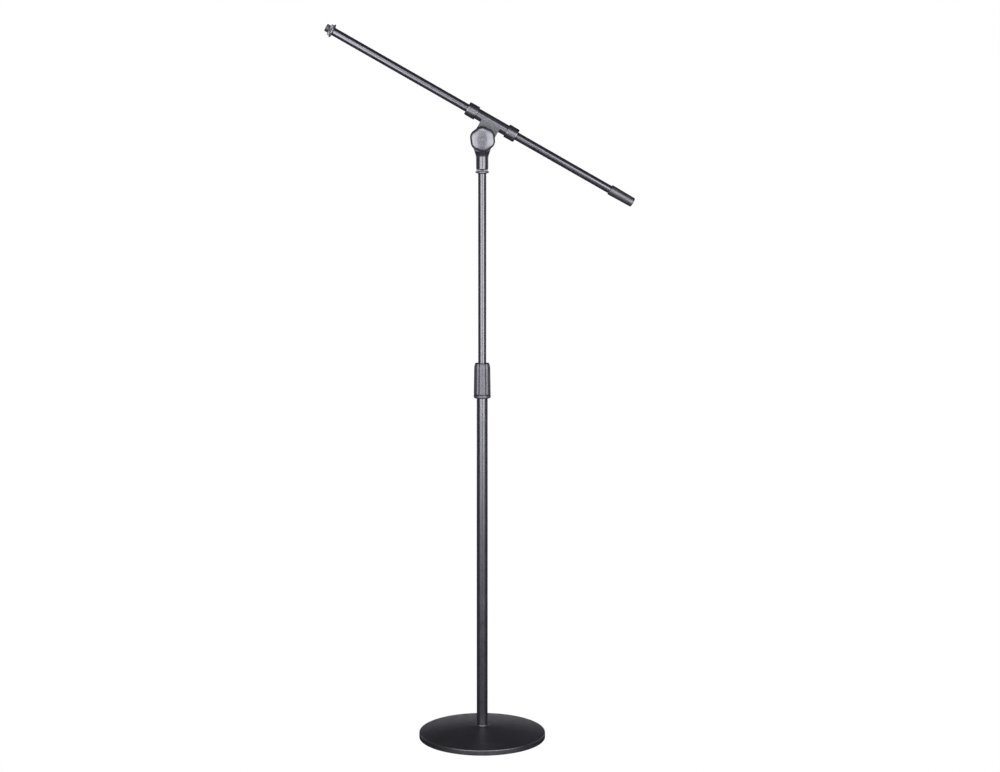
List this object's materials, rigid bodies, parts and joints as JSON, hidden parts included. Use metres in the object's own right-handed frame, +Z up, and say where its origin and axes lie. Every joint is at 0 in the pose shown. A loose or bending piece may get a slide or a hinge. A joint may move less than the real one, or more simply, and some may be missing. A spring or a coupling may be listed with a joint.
{
  "type": "boom microphone stand",
  "caption": "Round-base microphone stand with a twist-clutch telescopic column and a tilting, sliding boom in a tee clamp with a side knob.",
  "frame": {"origin": "on the floor, on the column's axis, in the plane of the rubber ring's foot", "axes": "+Z up along the column, -Y towards the clamping knob, the boom's tip towards -X and up"},
  "size_m": [0.6048, 0.254, 1.4214],
  "materials": {
    "cast_iron_black": "black powder coat over sand-cast iron",
    "tube_black": "satin black powder coat on steel tube",
    "casting_black": "satin black powder coat on die-cast aluminium",
    "clutch_black": "moulded glass-filled nylon, satin black",
    "nylon_black": "moulded nylon, satin black",
    "acetal_white": "moulded acetal, natural white",
    "knob_black": "moulded ABS, gloss black",
    "rubber_black": "moulded rubber, matt black",
    "steel_black": "black oxide steel",
    "steel_zinc": "bright zinc-plated steel",
    "brass": "turned brass"
  },
  "bodies": {
    "stand": {"base_casting": "cast_iron_black", "rubber_ring": "rubber_black", "base_bolt": "steel_zinc", "base_washer": "steel_zinc", "base_spring_washer": "steel_zinc", "tube_foot_plug": "steel_zinc", "lower_tube": "tube_black", "clutch_body": "clutch_black", "clutch_collet": "acetal_white"},
    "clutch_grip": {"clutch_grip": "clutch_black"},
    "column_guide": {"guide_bush": "acetal_white"},
    "column": {"upper_tube": "tube_black", "top_stud": "steel_black", "swivel_base": "casting_black", "pivot_bolt": "steel_black", "friction_washer_front": "nylon_black", "friction_washer_rear": "nylon_black", "knob_washer": "steel_zinc"},
    "column_lock_ring": {"top_lock_ring": "steel_black"},
    "knob": {"knob": "knob_black", "knob_insert": "brass"},
    "tee": {"tee_clamp": "casting_black", "tee_bush_tip": "nylon_black", "tee_bush_tail": "nylon_black"},
    "boom_slider": {"boom_end_cap": "rubber_black"},
    "boom": {"boom_tube": "tube_black", "boom_stud": "steel_black"},
    "boom_lock_ring": {"boom_lock_ring": "steel_black"}
  },
  "joints": [
    {"name": "clutch_twist", "type": "hinge", "parent": "stand", "child": "clutch_grip", "pos_m": [0, 0, 0.73], "axis": [0, 0, 1], "range_deg": [0, 180]},
    {"name": "column_height", "type": "slide", "parent": "stand", "child": "column_guide", "axis": [0, 0, 1], "range_m": [-0.37, 0.22]},
    {"name": "column_turn", "type": "hinge", "parent": "column_guide", "child": "column", "pos_m": [0, 0, 0.467], "axis": [0, 0, 1], "continuous": true},
    {"name": "column_lock_ring_turn", "type": "hinge", "parent": "column", "child": "column_lock_ring", "pos_m": [0, 0, 1.1395], "axis": [0, 0, 1], "range_deg": [0, 360]},
    {"name": "knob_turn", "type": "hinge", "parent": "column", "child": "knob", "pos_m": [0, -0.03, 1.2], "axis": [0, -1, 0], "range_deg": [0, 180]},
    {"name": "boom_tilt", "type": "hinge", "parent": "column", "child": "tee", "pos_m": [0, 0, 1.2], "axis": [0, 1, 0], "range_deg": [-119, 60]},
    {"name": "boom_reach", "type": "slide", "parent": "tee", "child": "boom_slider", "axis": [-0.8699, 0, 0.4932], "range_m": [-0.29, 0.205]},
    {"name": "boom_turn", "type": "hinge", "parent": "boom_slider", "child": "boom", "pos_m": [0.01874, 0, 1.23306], "axis": [-0.8699, 0, 0.4932], "continuous": true},
    {"name": "boom_lock_ring_turn", "type": "hinge", "parent": "boom", "child": "boom_lock_ring", "pos_m": [-0.29321, 0, 1.40991], "axis": [-0.8699, 0, 0.4932], "range_deg": [0, 360]}
  ]
}
